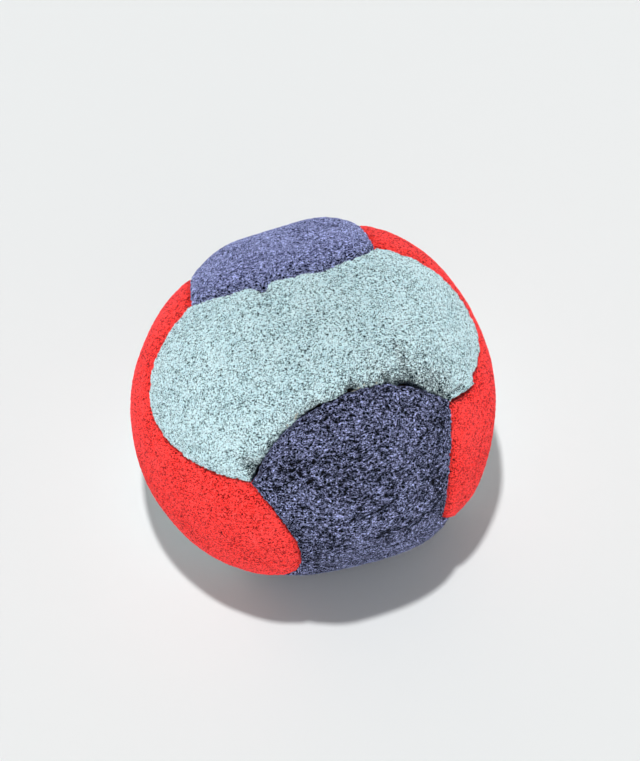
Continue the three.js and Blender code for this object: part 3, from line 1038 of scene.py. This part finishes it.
spunThread = makeThreadMaterial()
for runAxis in range(3):
    for firstSide, secondSide in itertools.product((-1, 1), repeat=2):
        low = [0, 0, 0]
        low[runAxis], low[(runAxis + 1) % 3], low[(runAxis + 2) % 3] = -1, firstSide, secondSide
        high = list(low)
        high[runAxis] = 1
        piece = makeThread(tuple(low), tuple(high))
        piece.data.materials.append(spunThread)
        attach(piece, "root")
        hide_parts("thread_" + seamName(low, high))
        print("thread", piece.name, len(piece.data.polygons), "faces")

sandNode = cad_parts["sand_fill"]
sandNode.data.materials.clear()
sandNode.data.materials.append(makeSandMaterial())
print("sand", sandNode.name)

# The photograph's view: nearly overhead, with a long lens.
view = {
    "azimuth": -20.3,
    "elevation": 60,
    "distance": 1.0,
    "frameWidth": 92.3 * mm,
    "aimRight": 0.952 * mm,
    "aimUp": 1.918 * mm,
    "sensorWidth": 36,
    "clipEnd": 20,
}
azimuth, elevation = math.radians(view["azimuth"]), math.radians(view["elevation"])
level = math.cos(elevation)
back = Vector((math.sin(azimuth) * level, -math.cos(azimuth) * level, math.sin(elevation)))
right = Vector((math.cos(azimuth), math.sin(azimuth), 0))
up = back.cross(right)
camera = bpy.data.objects.new("camera", bpy.data.cameras.new("camera"))
camera.data.sensor_fit = "HORIZONTAL"
camera.data.sensor_width = view["sensorWidth"]
camera.data.lens = view["sensorWidth"] * view["distance"] / view["frameWidth"]
camera.location = centre + right * view["aimRight"] + up * view["aimUp"] + back * view["distance"]
camera.rotation_euler = back.to_track_quat("Z", "Y").to_euler()
camera.data.clip_end = view["clipEnd"]
bpy.context.collection.objects.link(camera)
bpy.context.scene.camera = camera
print("camera", round(camera.data.lens), "mm")

# Plain studio: one soft lamp almost overhead and a pale band of light all around. The camera
# and mirrored rays see an even pale wall.
studio = {
    "sun": 2.2,
    "sunAngle": 3,
    "toLight": (-0.065, 0.011, 1),
    "band": 4.2,
    "zenith": 0.17,
    "bandFrom": 0.05,
    "bandTo": 0.36,
    "seenStrength": 0.87,
}
sun = bpy.data.objects.new("overheadLamp", bpy.data.lights.new("overheadLamp", "SUN"))
sun.data.energy = studio["sun"]
sun.data.angle = math.radians(studio["sunAngle"])
sun.rotation_euler = Vector(studio["toLight"]).to_track_quat("Z", "Y").to_euler()
bpy.context.collection.objects.link(sun)

world = bpy.data.worlds.new("studio")
bpy.context.scene.world = world
world.use_nodes = True
tree = world.node_tree
background = tree.nodes["Background"]
split = addNode(tree, "ShaderNodeSeparateXYZ")
tree.links.new(addNode(tree, "ShaderNodeTexCoord").outputs["Generated"], split.inputs[0])
band = addNode(tree, "ShaderNodeMapRange", interpolation_type="SMOOTHSTEP")
setInputs(band, {"From Min": studio["bandFrom"], "From Max": studio["bandTo"]})
setInputs(band, {"To Min": studio["band"], "To Max": studio["zenith"]})
tree.links.new(split.outputs["Z"], band.inputs["Value"])
rays = addNode(tree, "ShaderNodeLightPath").outputs
mirrored = calculate(tree, "MAXIMUM", rays["Is Glossy Ray"], rays["Is Transmission Ray"])
seen = calculate(tree, "MAXIMUM", rays["Is Camera Ray"], mirrored)
pick = addNode(tree, "ShaderNodeMix")
tree.links.new(seen, pick.inputs["Factor"])
tree.links.new(band.outputs["Result"], pick.inputs["A"])
pick.inputs["B"].default_value = studio["seenStrength"]
tree.links.new(pick.outputs["Result"], background.inputs["Strength"])
background.inputs["Color"].default_value = (1, 1, 1, 1)

paper = {
    "size": 3,
    "seen": (0.808, 0.826, 0.826, 1),
    "bounce": (0.9, 0.9, 0.9, 1),
    "finish": {"Roughness": 0.9, "Specular IOR Level": 0.0},
}
floorMesh = bmesh.new()
bmesh.ops.create_grid(floorMesh, x_segments=1, y_segments=1, size=paper["size"])
floor = makeObject("floor", floorMesh)
paleFloor, tree, shader = startMaterial("paleFloor")
setInputs(shader, paper["finish"])
seenPaper = addNode(tree, "ShaderNodeLightPath").outputs["Is Camera Ray"]
tree.links.new(mixColours(tree, seenPaper, paper["bounce"], paper["seen"]), shader.inputs["Base Color"])
floor.data.materials.append(paleFloor)
print("studio set")

bpy.context.scene.view_settings.view_transform = "Standard"
